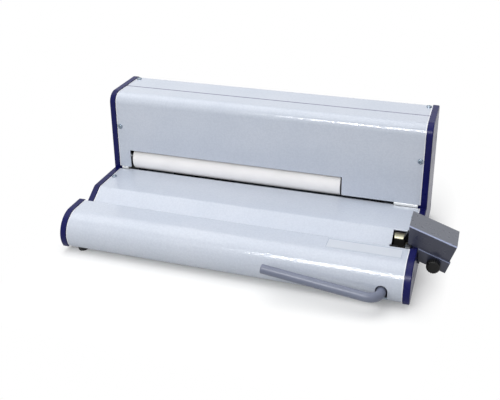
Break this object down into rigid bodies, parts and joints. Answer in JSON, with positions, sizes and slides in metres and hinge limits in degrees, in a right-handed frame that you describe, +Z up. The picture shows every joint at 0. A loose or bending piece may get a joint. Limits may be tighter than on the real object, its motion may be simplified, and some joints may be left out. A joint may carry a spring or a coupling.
{
  "type": "coil binding machine",
  "caption": "Desktop electric coil inserter: a powered roller in a tower window over a tray and coil trough, a hand-lever cut-and-crimp head and a tilting side guard.",
  "frame": {"origin": "on the underside of the base plate, midway between the side plates and straight below the tower's front edge", "axes": "+X to the operator's right along the roller, +Y to the back, +Z up"},
  "size_m": [0.5707, 0.3087, 0.1929],
  "materials": {
    "cover_paint": "light blue-grey hammered stove enamel",
    "plate_paint": "dark navy semi-gloss stove enamel",
    "zinc": "zinc plated steel",
    "steel": "ground steel",
    "tool_steel": "blackened tool steel",
    "plated_guide": "yellow zinc plated sheet",
    "block_alloy": "milled aluminium",
    "roller_rubber": "warm white silicone rubber",
    "foot_rubber": "black rubber",
    "belt_rubber": "black neoprene",
    "lever_vinyl": "blue-grey vinyl sleeve",
    "guard_paint": "dark grey satin paint",
    "knob_plastic": "black phenolic",
    "black_plastic": "black moulded plastic",
    "bronze": "sintered bronze",
    "contact_brass": "plated brass",
    "board": "green glass-epoxy board",
    "board_black": "moulded components"
  },
  "bodies": {
    "frame": {"side_plate_left": "plate_paint", "side_plate_right": "plate_paint", "tower_front_cover": "cover_paint", "tower_rear_cover": "cover_paint", "tray_cover": "cover_paint", "front_cover": "cover_paint", "base_plate": "zinc", "rubber_feet": "foot_rubber", "tie_bar_front": "steel", "tie_bar_top": "steel", "tie_bar_rear": "steel", "plate_screws": "tool_steel", "cover_screws": "zinc", "base_screws": "zinc", "end_block_left": "block_alloy", "end_block_right": "block_alloy", "roller_bearings": "steel", "drive_belt": "belt_rubber", "gear_motor": "zinc", "motor_bracket": "zinc", "lever_bushes": "bronze", "crimp_frame": "tool_steel", "crimp_die": "tool_steel", "guide_plate": "plated_guide", "return_spring": "steel", "clamp_bracket": "guard_paint", "bracket_screws": "zinc", "power_inlet": "black_plastic", "inlet_pins": "contact_brass", "rocker_frame": "black_plastic", "control_board": "board", "board_parts": "board_black", "board_standoffs": "contact_brass"},
    "roller": {"roller_shaft": "steel", "roller_core": "block_alloy", "feed_roller": "roller_rubber", "shaft_collar": "zinc", "roller_pulley": "block_alloy"},
    "motor_rotor": {"motor_shaft": "steel", "motor_pulley": "block_alloy"},
    "lever": {"lever_rod": "steel", "lever_sleeve": "lever_vinyl", "jaw_arm": "tool_steel", "jaw_blade": "steel"},
    "guard": {"guard_cover": "guard_paint"},
    "knob": {"clamp_stud": "steel", "clamp_washer": "zinc", "clamp_knob": "knob_plastic"},
    "rocker": {"power_rocker": "black_plastic"}
  },
  "joints": [
    {"name": "feed_roller_spin", "type": "hinge", "parent": "frame", "child": "roller", "pos_m": [0, 0.022, 0.0661], "axis": [1, 0, 0], "continuous": true},
    {"name": "motor_spin", "type": "hinge", "parent": "frame", "child": "motor_rotor", "pos_m": [0.19, 0.0625, 0.105], "axis": [1, 0, 0], "continuous": true},
    {"name": "lever_press", "type": "hinge", "parent": "frame", "child": "lever", "pos_m": [0.2217, -0.1, 0.0155], "axis": [0, -1, 0], "range_deg": [0, 12], "stiffness_Nm_per_rad": 1, "springref_deg": -34.38},
    {"name": "guard_tilt", "type": "hinge", "parent": "frame", "child": "guard", "pos_m": [0.2823, -0.118, 0.0315], "axis": [0, 1, 0], "range_deg": [0, 50]},
    {"name": "knob_turn", "type": "hinge", "parent": "frame", "child": "knob", "pos_m": [0.2823, -0.1253, 0.0315], "axis": [0, 1, 0], "range_deg": [0, 360]},
    {"name": "rocker_tip", "type": "hinge", "parent": "frame", "child": "rocker", "pos_m": [0.215, 0.093, 0.065], "axis": [1, 0, 0], "range_deg": [0, 20]}
  ],
  "couplings": [
    {"joint": "motor_spin", "follows": "feed_roller_spin", "ratio": 1.4831}
  ]
}
